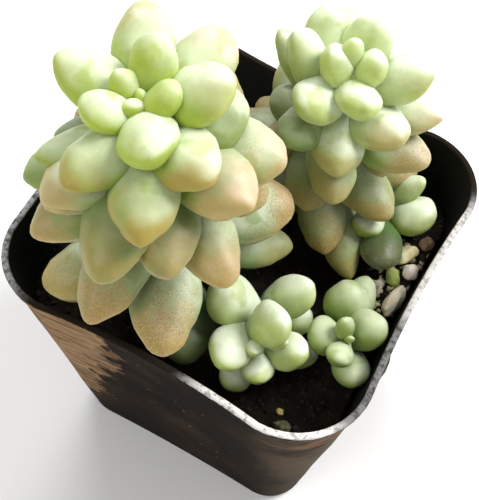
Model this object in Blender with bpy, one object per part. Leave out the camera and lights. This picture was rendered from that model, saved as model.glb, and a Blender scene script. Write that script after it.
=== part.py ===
"""A square nursery pot with soil, two tall leafy succulent stems, three small
ones and a few stones, modelled in metres with +Z up.

The origin is on the ground under the middle of the pot. +X is the side with
the stones, -Y is the side nearest the viewer."""
import math
import bpy
import bmesh
from mathutils import Matrix, Vector, noise

MM = 0.001

# Pot, in millimetres
RIM_WIDTH = 70.0
BASE_WIDTH = 52.0
POT_HEIGHT = 60.0
RIM_RADIUS = 13.4
BASE_RADIUS = 7.5
WALL = 0.8
FLOOR = 1.2
LIP_OUT = 0.45
LIP_HEIGHT = 1.6
FOOT_ROUND = 1.2
SIDE_BOW = (1.0, 1.5, -1.0, 1.4)      # how far +X, +Y, -X and -Y sag inwards
DRAIN_DIAMETER = 6.0
DRAIN_OFFSET = 14.0
DENT_Y = -13.0                        # pressed-out spot under the lip on +X
DENT_Z = 56.0
DENT_OUT = 1.3
GAP = 0.3                             # clearance between touching pieces

# Soil
SOIL_LEVEL = 46.8
SOIL_BANK = 4.2                       # extra height along the +X wall
SOIL_RELIEF = 0.9
STEM_DEPTH = 10.0                     # how deep a stem stands in the soil

# Leaf form, as shares of the length or width
LEAF_SIDES = 8
LEAF_RINGS = (0.0, 0.16, 0.36, 0.58, 0.78, 0.92)
LEAF_ROOT = 0.40
LEAF_WIDEST = 0.56
LEAF_THICKNESS = 0.80
LEAF_CURL = 0.06
FLAT_TOP = 0.86


def clear_scene():
    for obj in list(bpy.data.objects):
        bpy.data.objects.remove(obj, do_unlink=True)


def make_material(name, colour, roughness, metallic=0.0):
    material = bpy.data.materials.new(name)
    material.use_nodes = True
    shader = material.node_tree.nodes["Principled BSDF"]
    shader.inputs["Base Color"].default_value = (*colour, 1.0)
    shader.inputs["Roughness"].default_value = roughness
    shader.inputs["Metallic"].default_value = metallic
    return material


def link(obj, material=None):
    bpy.context.scene.collection.objects.link(obj)
    if material:
        obj.data.materials.append(material)
    return obj


def mesh_from(name, verts, faces):
    mesh = bpy.data.meshes.new(name)
    mesh.from_pydata([tuple(c * MM for c in v) for v in verts], [], faces)
    mesh.update()
    return mesh


def make_cutter(name, mesh):
    cutter = link(bpy.data.objects.new(name, mesh))
    cutter.hide_render = True
    cutter.display_type = "WIRE"
    return cutter


def cut(obj, cutter):
    modifier = obj.modifiers.new("Cut " + cutter.name, "BOOLEAN")
    modifier.operation = "DIFFERENCE"
    modifier.object = cutter
    return modifier


def rounded_square(width, radius, bow, z, inset=0.0, per_side=5, per_corner=5):
    """Outline of a bowed square with round corners, counter-clockwise from +X."""
    half = width / 2
    points = []
    for side in range(4):
        turn = Matrix.Rotation(side * math.pi / 2, 3, "Z")
        outline = []
        for i in range(per_side):
            t = -1 + 2 * i / per_side
            sag = bow[side] * (1 - t * t)
            outline.append((half - inset - sag, t * (half - radius)))
        for i in range(per_corner):
            angle = math.pi / 2 * i / per_corner
            reach = radius - inset
            outline.append((half - radius + reach * math.cos(angle),
                            half - radius + reach * math.sin(angle)))
        points += [turn @ Vector((x, y, z)) for x, y in outline]
    return points


def pot_outline(z, inset):
    """Outline of the pot at height z, a given depth inside its outer face."""
    share = z / POT_HEIGHT
    width = BASE_WIDTH + (RIM_WIDTH - BASE_WIDTH) * share
    radius = BASE_RADIUS + (RIM_RADIUS - BASE_RADIUS) * share
    bow = [b * (0.25 + 0.75 * share) for b in SIDE_BOW]
    return rounded_square(width, radius, bow, z, inset)


def loft(rings, cap_start=True, cap_end=True):
    """Vertices and faces of a skin over rings with the same number of points."""
    count = len(rings[0])
    verts = [p for ring in rings for p in ring]
    faces = []
    for r in range(len(rings) - 1):
        for i in range(count):
            j = (i + 1) % count
            low = r * count
            high = low + count
            faces.append((low + i, low + j, high + j, high + i))
    if cap_start:
        faces.append(tuple(range(count - 1, -1, -1)))
    if cap_end:
        last = (len(rings) - 1) * count
        faces.append(tuple(last + i for i in range(count)))
    return verts, faces


def press_out(point):
    """Push the +X wall out where the pot has its small round dent."""
    if point.x < 28:
        return point
    away = ((point.y - DENT_Y) / 4.2) ** 2 + ((point.z - DENT_Z) / 1.9) ** 2
    return Vector((point.x + DENT_OUT * math.exp(-away), point.y, point.z))


def build_pot():
    top = POT_HEIGHT
    under_lip = top - LIP_HEIGHT
    heights = (6.0, 22.0, 38.0, 52.0, 54.6, 56.6)
    outer = [pot_outline(0.0, FOOT_ROUND * 0.8), pot_outline(FOOT_ROUND, 0.0)]
    outer += [[press_out(p) for p in pot_outline(z, 0.0)] for z in heights]
    outer += [pot_outline(under_lip - 0.3, 0.0),
              pot_outline(under_lip, -LIP_OUT),
              pot_outline(top - 0.3, -LIP_OUT),
              pot_outline(top, -LIP_OUT * 0.4)]
    inner = [pot_outline(top, WALL * 0.8), pot_outline(top - 0.4, WALL)]
    inner += [[press_out(p) for p in pot_outline(z, WALL)]
              for z in (56.6, 54.6, 52.0, 38.0, 22.0, 6.0)]
    inner += [pot_outline(FLOOR, WALL + 0.4)]
    verts, faces = loft(outer + inner)
    pot = link(bpy.data.objects.new("pot", mesh_from("pot", verts, faces)), POT_BLACK)
    for i, (sx, sy) in enumerate(((1, 1), (-1, 1), (-1, -1), (1, -1))):
        bm = bmesh.new()
        bmesh.ops.create_cone(bm, cap_ends=True, segments=20,
                              radius1=DRAIN_DIAMETER / 2 * MM,
                              radius2=DRAIN_DIAMETER / 2 * MM, depth=6 * MM)
        mesh = bpy.data.meshes.new("drain_cutter")
        bm.to_mesh(mesh)
        bm.free()
        cutter = make_cutter("drain_cutter_%d" % i, mesh)
        cutter.location = (sx * DRAIN_OFFSET * MM, sy * DRAIN_OFFSET * MM, 0)
        cut(pot, cutter)
    pot.data.shade_smooth()
    pot.data.set_sharp_from_angle(angle=math.radians(35))
    return pot


def soil_height(x, y):
    """Height of the soil surface: nearly level, banked up along the +X wall."""
    bank = SOIL_BANK / (1 + math.exp(-(x - 24.0) / 2.2))
    bank *= math.exp(-((y - 4.0) / 24.0) ** 4)
    rough = noise.noise(Vector((x * 0.22, y * 0.22, 3.7)))
    fine = noise.noise(Vector((x * 0.6, y * 0.6, 9.1)))
    return SOIL_LEVEL + bank + SOIL_RELIEF * rough + 0.4 * SOIL_RELIEF * fine


def build_soil():
    inset = WALL + GAP
    low = FLOOR + GAP
    sides = [pot_outline(low, inset + 0.6), pot_outline(14.0, inset),
             pot_outline(30.0, inset)]
    edge = [Vector((p.x, p.y, soil_height(p.x, p.y)))
            for p in pot_outline(SOIL_LEVEL, inset + 0.35)]
    rings = [edge]
    for k in range(1, 9):
        share = 1 - k / 9
        ring = []
        for p in edge:
            x = p.x * share
            y = p.y * share
            ring.append(Vector((x, y, soil_height(x, y))))
        rings.append(ring)
    verts, faces = loft(sides + rings)
    soil = link(bpy.data.objects.new("soil", mesh_from("soil", verts, faces)),
                SOIL_DARK)
    return soil


def half_width(t):
    """Half width of a leaf at share t of its length, 1 at the widest place."""
    if t < LEAF_WIDEST:
        rise = math.sin(math.pi / 2 * t / LEAF_WIDEST)
        return LEAF_ROOT + (1 - LEAF_ROOT) * rise ** 1.15
    fall = (t - LEAF_WIDEST) / (1 - LEAF_WIDEST)
    return (1 - fall ** 2.1) ** 0.62


def leaf_mesh(root, along, up, length, width):
    """A thick blunt leaf as a closed mesh, its root well inside the stem."""
    side = along.cross(up).normalized()
    up = side.cross(along).normalized()
    thick = width * LEAF_THICKNESS
    verts = []
    for t in LEAF_RINGS:
        reach = half_width(t) * 1.03
        lift = LEAF_CURL * length * t * t
        for k in range(LEAF_SIDES):
            angle = 2 * math.pi * k / LEAF_SIDES
            across = width / 2 * reach * math.cos(angle)
            deep = thick / 2 * reach * math.sin(angle)
            if deep > 0:
                deep *= FLAT_TOP
            verts.append(root + along * (length * t) + side * across
                         + up * (deep + lift))
    verts.append(root + along * length + up * (LEAF_CURL * length))
    faces = []
    for r in range(len(LEAF_RINGS) - 1):
        for k in range(LEAF_SIDES):
            n = (k + 1) % LEAF_SIDES
            low = r * LEAF_SIDES
            high = low + LEAF_SIDES
            faces.append((low + k, high + k, high + n, low + n))
    faces.append(tuple(range(LEAF_SIDES)))
    last = (len(LEAF_RINGS) - 1) * LEAF_SIDES
    tip = len(verts) - 1
    for k in range(LEAF_SIDES):
        faces.append((last + k, tip, last + (k + 1) % LEAF_SIDES))
    mesh = mesh_from("leaf", verts, faces)
    bm = bmesh.new()
    bm.from_mesh(mesh)
    bmesh.ops.recalc_face_normals(bm, faces=bm.faces)
    bm.to_mesh(mesh)
    bm.free()
    return mesh


def stem_axis(stem, distance):
    """Direction of a stem at a distance below its top: it leans near the top
    and stands straight lower down."""
    lean = math.radians(stem["lean"])
    way = math.radians(stem["lean_to"])
    top = Vector((math.cos(way) * math.sin(lean), math.sin(way) * math.sin(lean),
                  math.cos(lean)))
    share = min(max(distance / stem["straight"], 0), 1)
    return (top * (1 - share) + Vector((0, 0, 1)) * share).normalized()


def stem_point(stem, distance, steps=60):
    point = Vector(stem["top"])
    step = distance / steps
    for i in range(steps):
        point = point - stem_axis(stem, step * i) * step
    return point


def spiral_leaves(stem):
    """Leaves of a tall stem. Each is one turn of the spiral on from the one
    above it, lower down, longer and more spread, up to the full size."""
    leaves = []
    for n in range(stem["count"]):
        extra = max(0, n - stem["loose_from"]) ** 2 * stem["loose"]
        down = stem["pitch"] * n ** stem["pitch_power"] + extra
        axis = stem_axis(stem, down)
        own = stem["posed"].get(n, ())
        turn, tilt, longer, wider, lower = own + (0, 0, 1, 1, 0)[len(own):]
        root = stem_point(stem, down) - axis * lower
        angle = math.radians(stem["start"] + stem["hand"] * stem["turn"] * n + turn)
        spread = stem["tilt_last"] - (stem["tilt_last"] - stem["tilt_first"]) \
            * math.exp(-n / stem["tilt_rate"])
        spread = math.radians(spread + tilt)
        length = stem["leaf"] * (1 - math.exp(-(n + 1.5) / stem["leaf_rate"]))
        slim = 0.52 + 0.28 * math.exp(-n / 8.0)
        ref = Vector((1, 0, 0))
        east = (ref - axis * axis.dot(ref)).normalized()
        north = axis.cross(east)
        out = east * math.cos(angle) + north * math.sin(angle)
        along = out * math.sin(spread) + axis * math.cos(spread)
        up = axis * math.sin(spread) - out * math.cos(spread)
        leaves.append((root, along, up, length * longer, length * slim * wider))
    return leaves


def placed_leaves(stem):
    """Leaves of a small stem, each from its root point to its tip point."""
    leaves = []
    for root, tip, width in stem["leaves"]:
        root = Vector(root)
        along = Vector(tip) - root
        length = along.length
        along.normalize()
        top = Vector(stem["faces"])
        up = (top - along * along.dot(top)).normalized()
        leaves.append((root, along, up, length, width))
    return leaves


def tube(points, radii, sides=10):
    """A round bar along points, with flat ends."""
    rings = []
    for i, p in enumerate(points):
        before = points[max(i - 1, 0)]
        after = points[min(i + 1, len(points) - 1)]
        axis = (after - before).normalized()
        east = axis.orthogonal().normalized()
        if abs(axis.z) > 0.3:
            ref = Vector((1, 0, 0))
            east = (ref - axis * axis.dot(ref)).normalized()
        north = axis.cross(east)
        ring = []
        for k in range(sides):
            angle = 2 * math.pi * k / sides
            ring.append(p + (east * math.cos(angle) + north * math.sin(angle)) * radii[i])
        rings.append(ring)
    return loft(rings)


def keep_main_body(mesh):
    """Drop scraps and sealed hollows that a union can leave."""
    bm = bmesh.new()
    bm.from_mesh(mesh)
    bmesh.ops.triangulate(bm, faces=bm.faces)
    seen = set()
    bodies = []
    for face in bm.faces:
        if face in seen:
            continue
        body = []
        stack = [face]
        seen.add(face)
        while stack:
            item = stack.pop()
            body.append(item)
            for edge in item.edges:
                for other in edge.link_faces:
                    if other not in seen:
                        seen.add(other)
                        stack.append(other)
        bodies.append(body)
    bodies.sort(key=len)
    for body in bodies[:-1]:
        bmesh.ops.delete(bm, geom=body, context="FACES")
    loose = [v for v in bm.verts if not v.link_faces]
    bmesh.ops.delete(bm, geom=loose, context="VERTS")
    bm.to_mesh(mesh)
    bm.free()


def build_stem(name, stem, material):
    """Fuse a stem and its leaves into one closed body."""
    leaves = spiral_leaves(stem) if "turn" in stem else placed_leaves(stem)
    shoot = stem.get("shoot")
    if shoot:
        leaves += placed_leaves(shoot)
    points = stem["path"] if "path" in stem else None
    if points is None:
        length = stem["top"][2] - (SOIL_LEVEL - STEM_DEPTH)
        points = []
        distance = 1.5
        while distance < length * 1.04:
            points.append(stem_point(stem, distance))
            distance += 3.0
        foot = points[-1].copy()
        foot.z = SOIL_LEVEL - STEM_DEPTH
        points = [p for p in points if p.z > foot.z + 1.0] + [foot]
        points.reverse()
    else:
        points = [Vector(p) for p in points]
    radii = [stem["radius"]] * len(points)
    radii[-1] *= 0.55
    verts, faces = tube(points, radii)
    obj = link(bpy.data.objects.new(name, mesh_from(name, verts, faces)), material)
    group = bpy.data.collections.new(name + "_leaves")
    bpy.context.scene.collection.children.link(group)
    parts = []
    for leaf in leaves:
        part = bpy.data.objects.new(name + "_leaf", leaf_mesh(*leaf))
        group.objects.link(part)
        parts.append(part)
    if shoot:
        branch = [Vector(p) for p in shoot["path"]]
        verts, faces = tube(branch, [shoot["radius"]] * len(branch))
        part = bpy.data.objects.new(name + "_branch", mesh_from("branch", verts, faces))
        group.objects.link(part)
        parts.append(part)
    modifier = obj.modifiers.new("Join leaves", "BOOLEAN")
    modifier.operation = "UNION"
    modifier.operand_type = "COLLECTION"
    modifier.collection = group
    modifier.solver = stem.get("solver", "EXACT")
    graph = bpy.context.evaluated_depsgraph_get()
    joined = bpy.data.meshes.new_from_object(obj.evaluated_get(graph))
    obj.modifiers.clear()
    obj.data = joined
    for part in parts:
        bpy.data.objects.remove(part, do_unlink=True)
    bpy.data.collections.remove(group)
    keep_main_body(obj.data)
    joined.name = name
    hole, hole_faces = tube([points[0] - Vector((0, 0, GAP)),
                             points[0] + Vector((0, 0, 30.0))],
                            [stem["radius"] + GAP] * 2, sides=14)
    return obj, make_cutter(name + "_hole", mesh_from(name + "_hole", hole, hole_faces))


def stone_mesh(name, size, seed, rough, detail=2, grow=0.0):
    """A lumpy rounded stone: a ball pushed in and out by smooth noise."""
    bm = bmesh.new()
    bmesh.ops.create_icosphere(bm, subdivisions=detail, radius=1.0)
    for vert in bm.verts:
        bump = 1 + rough * noise.noise(vert.co * 1.3 + Vector((seed, 0, 0)))
        p = vert.co * bump
        vert.co = Vector((p.x * (size[0] / 2 + grow), p.y * (size[1] / 2 + grow),
                          p.z * (size[2] / 2 + grow))) * MM
    mesh = bpy.data.meshes.new(name)
    bm.to_mesh(mesh)
    bm.free()
    return mesh


def build_stone(name, stone, material, soil):
    """A stone half sunk in a seat that is cut for it in the soil."""
    x, y = stone["at"]
    z = soil_height(x, y) + stone["size"][2] * (0.5 - stone["sunk"])
    turn = (math.radians(stone.get("pitch", 0)), 0, math.radians(stone.get("yaw", 0)))
    args = (stone["size"], stone["seed"], stone["rough"])
    obj = link(bpy.data.objects.new(name, stone_mesh(name, *args)), material)
    seat = make_cutter(name + "_seat", stone_mesh(name + "_seat", *args, grow=GAP))
    for item in (obj, seat):
        item.location = (x * MM, y * MM, z * MM)
        item.rotation_euler = turn
    cut(soil, seat)
    obj.data.shade_smooth()
    return obj


# The small stems: root point, tip point and width of each leaf, in millimetres.
FRONT = dict(
    radius=2.0, faces=(0.3, -0.35, 1),
    path=[(12.0, -18.0, 36.8), (12.0, -18.0, 50.0), (13.0, -19.5, 56.5)],
    leaves=[((13.5, -20, 58), (19.8, -21, 63), 3.5), ((13, -20.5, 58), (15.7, -25.3, 62), 3.4),
            ((11.5, -19.5, 58), (18.6, -20, 68), 7.8), ((10, -18.5, 57), (12, -30, 62), 7.8),
            ((11, -15.5, 58), (3, -19, 63), 9.4), ((11, -14.5, 56), (18, -8, 62), 7.4),
            ((14, -19, 54), (23, -19.5, 59), 7.0), ((13.5, -20, 54), (17.5, -27, 56), 6.0),
            ((13, -15.5, 52), (19, -9.5, 55), 6.0), ((12, -20, 51), (13, -29, 52), 6.0),
            ((14, -17.5, 51), (23, -14.5, 50), 5.5)])
EDGE = dict(
    radius=1.8, faces=(0.1, -0.2, 1),
    path=[(26.2, -11.2, 36.8), (26.2, -11.2, 51.5), (27.0, -12.2, 57.0)],
    leaves=[((27.2, -12.8, 58), (27.6, -13.6, 60.3), 1.8), ((27, -12, 57), (25, -12.3, 63), 3.8),
            ((27, -13, 57), (27.5, -19, 60), 4.8), ((26.1, -12, 55), (31.1, -6.7, 59), 7.4),
            ((26.5, -12, 55), (20.6, -15.3, 59), 6.9), ((26, -9, 54), (21.5, -3, 59), 8.6),
            ((27, -10.5, 52), (31.5, -18.5, 54), 6.8), ((25.5, -7.5, 52), (24, 3.5, 52), 6.2)])
# A side shoot low on the right stem.
SHOOT = dict(
    radius=1.8, faces=(0, -0.1, 1),
    path=[(6.0, 19.5, 51.5), (14.0, 18.5, 52.5), (20.5, 18.0, 55.0)],
    leaves=[((21, 19, 54), (30, 18.5, 56), 9.0), ((20, 18, 55), (25, 24, 60), 5.0),
            ((20, 17, 54), (19, 8, 58), 6.0), ((21, 17, 53), (25.4, 4.4, 55), 8.0)])

# The two tall stems. Positions and lengths are in millimetres, angles in
# degrees. "posed" holds, for single leaves, a turn round the stem, a tilt, a
# length factor, a width factor and a drop of the root, which bend them away
# from the plain spiral as on this plant.
LEFT = dict(
    top=(-9.5, -16.8, 100.0), lean=20.5, lean_to=-109, straight=25.0,
    radius=3.2, count=49, start=54, hand=-1, turn=136.7, pitch=0.25,
    pitch_power=1.12, loose=0.1, loose_from=32, tilt_first=21.7,
    tilt_last=99.5, tilt_rate=7.8, leaf=24.0, leaf_rate=10.2,
    posed={0: (0, 8, 1), 1: (15, 3, .85), 2: (10, 0, .92, .9), 3: (14, 11, 1.05),
           4: (5, 0, .97, 1.1), 6: (4, 0, 1.08, 1.05), 7: (0, 0, 1.1),
           8: (-10, 0, 1.08, 1.05), 9: (-3, 5, 1.05), 10: (-8, 0, 1.06),
           11: (-13, 0, 1.03), 12: (14, 0, 1, .65, 2), 13: (0, 7, 1), 14: (0, 0, 1.1),
           15: (0, 15, 1), 16: (0, 0, .75), 17: (-3, 0, .97), 18: (0, 15, .9),
           19: (8, 0, 1), 20: (29, 0, .97, .9), 21: (0, 12, .62), 22: (-5, 0, 1.13),
           23: (0, 15, 1), 24: (0, 0, .92), 25: (5, 0, .9, .85), 26: (0, 12, 1),
           27: (-18, 0, .99, .9), 28: (11, 0, .76, .9, 1), 29: (0, 20, .56),
           30: (5, 0, .95, .9), 32: (4, 10, .78), 33: (20, 0, 1, .95), 34: (0, 0, .8),
           35: (15, 0, 1.04, .8), 36: (0, 0, .8), 37: (0, 0, .55), 38: (13, 10, 1.15, .9),
           40: (43, 0, .88, 1.1, 6), 41: (0, 0, .6), 42: (0, 0, .7), 43: (3, 0, 1.12, .95),
           45: (5, 0, .9, .8, 3), 46: (-9, -6, 1), 47: (0, 0, .7), 48: (-24, 0, .88, .9)})
RIGHT = dict(
    shoot=SHOOT,
    top=(9.6, 16.6, 86.0), lean=25, lean_to=-34, straight=25.0,
    radius=2.8, count=40, start=-3, hand=1, turn=136.8, pitch=0.47,
    pitch_power=1.15, loose=0.0, loose_from=40, tilt_first=15,
    tilt_last=90, tilt_rate=11.5, leaf=19.0, leaf_rate=6.6,
    posed={0: (0, -20, .8), 1: (20, 10, 1.45), 2: (0, 0, .5), 3: (-20, -10, .95),
           4: (16, 1, .95), 5: (-19, 5, 1), 7: (14, 16, 1), 8: (17, 5, 1.09),
           10: (10, 33, 1), 11: (0, 0, .6), 12: (-10, -18, 1), 13: (0, -3, 1),
           14: (3, 8, 1), 15: (10, 0, 1, .85), 16: (-14, 0, 1.09, .85), 17: (0, 0, .92, .8),
           18: (-1, 20, 1.03, .9), 19: (0, 35, 1), 20: (0, 0, .65), 21: (2, 0, 1.12),
           23: (22, 20, .98), 24: (0, 0, .6), 25: (0, 0, .6), 26: (20, 22, 1.11),
           28: (0, 0, .6), 29: (-5, 0, .8), 31: (22, 25, 1.15), 34: (-16, 25, 1.34, .85),
           35: (0, -8, .68), 39: (0, 0, .7)})

STONES = {
    "stone_white": dict(at=(30.4, -6.4), size=(2.2, 2.6, 2.4), seed=2.0, rough=0.15, sunk=0.3),
    "stone_cream": dict(at=(30.0, 2.2), size=(2.9, 7.4, 3.0), seed=5.0, rough=0.2, sunk=0.3,
                        yaw=-4),
    "stone_pink": dict(at=(30.1, 9.4), size=(2.8, 3.2, 2.8), seed=8.0, rough=0.2, sunk=0.3),
    "stone_tan": dict(at=(30.2, 17.4), size=(2.8, 3.0, 2.6), seed=11.0, rough=0.3, sunk=0.4),
    "fallen_leaf_pale": dict(at=(27.8, 12.8), size=(3.2, 5.6, 2.6), seed=14.0, rough=0.3,
                             sunk=0.25, yaw=-25),
    "fallen_leaf_green": dict(at=(27.6, 7.0), size=(2.6, 4.4, 2.2), seed=17.0, rough=0.12,
                              sunk=0.25, yaw=35),
    "grit_grey": dict(at=(25.9, 3.6), size=(2.8, 3.8, 1.9), seed=20.0, rough=0.7, sunk=0.3),
    "grit_yellow": dict(at=(26.6, -0.4), size=(1.8, 2.4, 1.5), seed=23.0, rough=0.6, sunk=0.3),
    "grain_front": dict(at=(21.7, -25.6), size=(1.3, 1.3, 1.2), seed=26.0, rough=0.4, sunk=0.3),
    "lump_front": dict(at=(23.4, -28.0), size=(3.4, 2.4, 2.2), seed=29.0, rough=0.4, sunk=0.3),
}
STONE_COLOURS = {
    "stone_white": (0.72, 0.70, 0.62), "stone_cream": (0.62, 0.52, 0.38),
    "stone_pink": (0.74, 0.62, 0.54), "stone_tan": (0.30, 0.20, 0.12),
    "fallen_leaf_pale": (0.62, 0.58, 0.28), "fallen_leaf_green": (0.24, 0.30, 0.08),
    "grit_grey": (0.34, 0.31, 0.26), "grit_yellow": (0.55, 0.50, 0.20),
    "grain_front": (0.55, 0.45, 0.16), "lump_front": (0.22, 0.24, 0.15),
}

clear_scene()
POT_BLACK = make_material("pot_black", (0.030, 0.026, 0.022), 0.55)
SOIL_DARK = make_material("soil_dark", (0.012, 0.010, 0.008), 0.95)
LEAF_PALE = make_material("leaf_pale", (0.50, 0.56, 0.24), 0.50)
LEAF_GREEN = make_material("leaf_green", (0.36, 0.50, 0.16), 0.50)

build_pot()
soil_body = build_soil()
for stem_name, settings, leaf_colour in (
        ("leafy_stem_left", LEFT, LEAF_PALE),
        ("leafy_stem_right", RIGHT, LEAF_PALE),
        ("leafy_stem_front", FRONT, LEAF_GREEN),
        ("leafy_stem_edge", EDGE, LEAF_GREEN)):
    _, stem_hole = build_stem(stem_name, settings, leaf_colour)
    cut(soil_body, stem_hole)
for stone_name, settings in STONES.items():
    stone_colour = make_material(stone_name, STONE_COLOURS[stone_name], 0.7)
    build_stone(stone_name, settings, stone_colour, soil_body)
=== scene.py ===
import math
import bpy
import bmesh
from mathutils import Matrix, Vector, noise


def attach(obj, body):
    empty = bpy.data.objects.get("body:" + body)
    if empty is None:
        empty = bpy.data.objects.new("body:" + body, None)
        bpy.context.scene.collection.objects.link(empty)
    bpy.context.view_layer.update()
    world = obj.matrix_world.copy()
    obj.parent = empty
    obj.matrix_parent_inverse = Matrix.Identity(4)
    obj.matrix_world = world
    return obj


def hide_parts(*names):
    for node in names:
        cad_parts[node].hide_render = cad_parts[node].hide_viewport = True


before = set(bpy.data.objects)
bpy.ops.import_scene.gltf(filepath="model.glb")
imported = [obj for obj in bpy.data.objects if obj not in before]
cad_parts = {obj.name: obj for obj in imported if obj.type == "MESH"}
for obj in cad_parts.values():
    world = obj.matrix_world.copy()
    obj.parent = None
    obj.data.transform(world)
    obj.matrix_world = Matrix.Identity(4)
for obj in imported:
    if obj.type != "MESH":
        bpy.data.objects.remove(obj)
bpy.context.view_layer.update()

mm = 0.001


def put(tree, socket, value):
    # links a socket, or sets a plain value
    if isinstance(value, bpy.types.NodeSocket):
        tree.links.new(value, socket)
    else:
        socket.default_value = value


def addNode(tree, kind, inputs, **settings):
    # a new node with its settings, and a link or a plain value for each input
    node = tree.nodes.new(kind)
    for label, value in settings.items():
        setattr(node, label, value)
    for label, value in inputs.items():
        if value is not None:
            put(tree, node.inputs[label], value)
    return node


def calc(tree, operation, *values, clamp=False):
    return addNode(tree, "ShaderNodeMath", dict(enumerate(values)), operation=operation,
                   use_clamp=clamp).outputs[0]


def times(tree, first, *others):
    # the product of all the values
    for other in others:
        first = calc(tree, "MULTIPLY", first, other)
    return first


def vecCalc(tree, operation, *values, scale=None):
    node = addNode(tree, "ShaderNodeVectorMath", dict(enumerate(values), Scale=scale),
                   operation=operation)
    return node.outputs["Value"] if operation in ("DOT_PRODUCT", "LENGTH") else node.outputs[0]


def splitAxes(tree, vector):
    return addNode(tree, "ShaderNodeSeparateXYZ", {0: vector}).outputs


def allAxes(tree, value):
    # a vector with the same value on each axis
    return addNode(tree, "ShaderNodeCombineXYZ", {0: value, 1: value, 2: value}).outputs[0]


def ease(tree, value, low, high, toLow=0.0, toHigh=1.0):
    # soft step from low to high
    return addNode(tree, "ShaderNodeMapRange", {
        "Value": value, "From Min": low, "From Max": high, "To Min": toLow, "To Max": toHigh},
        interpolation_type="SMOOTHSTEP").outputs["Result"]


def easeAt(tree, value, span, *share):
    # soft step between two places in millimetres
    return ease(tree, value, span[0] * mm, span[1] * mm, *share)


def frayed(tree, place, fleck, reach):
    # moves a place to and fro with a noise, over a reach in millimetres
    return calc(tree, "ADD", place, calc(tree, "MULTIPLY_ADD", fleck, reach * mm,
                                         -reach * mm / 2))


def blendColour(tree, factor, *colours):
    first, second = ((*c, 1.0) if isinstance(c, tuple) else c for c in colours)
    return addNode(tree, "ShaderNodeMix", {0: factor, 6: first, 7: second},
                   data_type="RGBA").outputs[2]


def cloud(tree, vector, scale, detail=2.0, rough=0.5):
    # soft noise from 0 to 1
    return addNode(tree, "ShaderNodeTexNoise", {
        "Vector": vector, "Scale": scale, "Detail": detail, "Roughness": rough}).outputs["Fac"]


def cells(tree, vector, scale):
    # distance to the nearest of many scattered points
    return addNode(tree, "ShaderNodeTexVoronoi", {
        "Vector": vector, "Scale": scale}).outputs["Distance"]


def stored(tree, name, kind="FLOAT"):
    # reads one of the piece's own attributes
    if tree.type == "GEOMETRY":
        return addNode(tree, "GeometryNodeInputNamedAttribute", {"Name": name},
                       data_type=kind).outputs[0]
    return addNode(tree, "ShaderNodeAttribute", {}, attribute_name=name).outputs["Fac"]


def store(tree, geometry, name, value):
    # keeps a number on each point
    return addNode(tree, "GeometryNodeStoreNamedAttribute", {
        "Geometry": geometry, "Name": name, "Value": value}, data_type="FLOAT").outputs[0]


def newMaterial(name, roughness, **fixed):
    # a Principled material; fixed holds constants for the shader's own sockets
    material = bpy.data.materials.new(name)
    material.use_nodes = True
    tree = material.node_tree
    shader = tree.nodes["Principled BSDF"]
    put(tree, shader.inputs["Roughness"], roughness)
    for label, value in fixed.items():
        shader.inputs[label.replace("_", " ")].default_value = value
    spot = tree.nodes.new("ShaderNodeTexCoord")
    return material, tree, shader, spot


def addBump(tree, shader, height, strength, distance):
    node = addNode(tree, "ShaderNodeBump", {
        "Strength": strength, "Distance": distance, "Height": height})
    tree.links.new(node.outputs[0], shader.inputs["Normal"])


def newTree(name, inputs):
    # a Geometry Nodes tree with named inputs; returns it with the identifiers
    tree = bpy.data.node_groups.new(name, "GeometryNodeTree")
    tree.interface.new_socket("Geometry", in_out="INPUT", socket_type="NodeSocketGeometry")
    ids = {}
    for label, kind, value in inputs:
        socket = tree.interface.new_socket(label, in_out="INPUT",
                                           socket_type="NodeSocket" + kind)
        if value is not None:
            socket.default_value = value
        ids[label] = socket.identifier
    tree.interface.new_socket("Geometry", in_out="OUTPUT", socket_type="NodeSocketGeometry")
    return tree, ids, tree.nodes.new("NodeGroupInput"), tree.nodes.new("NodeGroupOutput")


def endTree(tree, geometry, given, out):
    # the last node gives the mesh its material
    paint = addNode(tree, "GeometryNodeSetMaterial", {
        "Geometry": geometry, "Material": given.outputs["Material"]})
    tree.links.new(paint.outputs[0], out.inputs[0])


def plainMesh(piece):
    # what the modifiers make becomes the piece's own mesh
    graph = bpy.context.evaluated_depsgraph_get()
    mesh = bpy.data.meshes.new_from_object(piece.evaluated_get(graph),
                                           preserve_all_data_layers=True, depsgraph=graph)
    piece.modifiers.clear()
    piece.data = mesh


def runTree(piece, tree, ids, values):
    modifier = piece.modifiers.new(tree.name, "NODES")
    modifier.node_group = tree
    for label, value in values.items():
        modifier[ids[label]] = value
    plainMesh(piece)


def addObject(name, data, material=None):
    item = bpy.data.objects.new(name, data)
    bpy.context.scene.collection.objects.link(item)
    if material:
        data.materials.append(material)
    return item


def meshFrom(name, verts, faces):
    # a smooth mesh from points in millimetres
    mesh = bpy.data.meshes.new(name)
    mesh.from_pydata([tuple(c * mm for c in v) for v in verts], [], faces)
    mesh.shade_smooth()
    return mesh


def skin(rings):
    # skin over rings of equal length, closed by flat ends
    count = len(rings[0])
    verts = [p for ring in rings for p in ring]
    faces = []
    for r in range(len(rings) - 1):
        low = r * count
        for i in range(count):
            j = (i + 1) % count
            faces.append((low + i, low + j, low + count + j, low + count + i))
    faces.append(tuple(range(count - 1, -1, -1)))
    faces.append(tuple((len(rings) - 1) * count + i for i in range(count)))
    return verts, faces


def joinInto(piece, other, material):
    # adds another mesh to a piece, with its own material
    piece.data.materials.append(material)
    index = len(piece.data.materials) - 1
    bm = bmesh.new()
    bm.from_mesh(piece.data)
    start = len(bm.faces)
    bm.from_mesh(other)
    bm.faces.ensure_lookup_table()
    for face in bm.faces[start:]:
        face.material_index = index
        face.smooth = True
    bm.to_mesh(piece.data)
    bm.free()
    bpy.data.meshes.remove(other)


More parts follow.
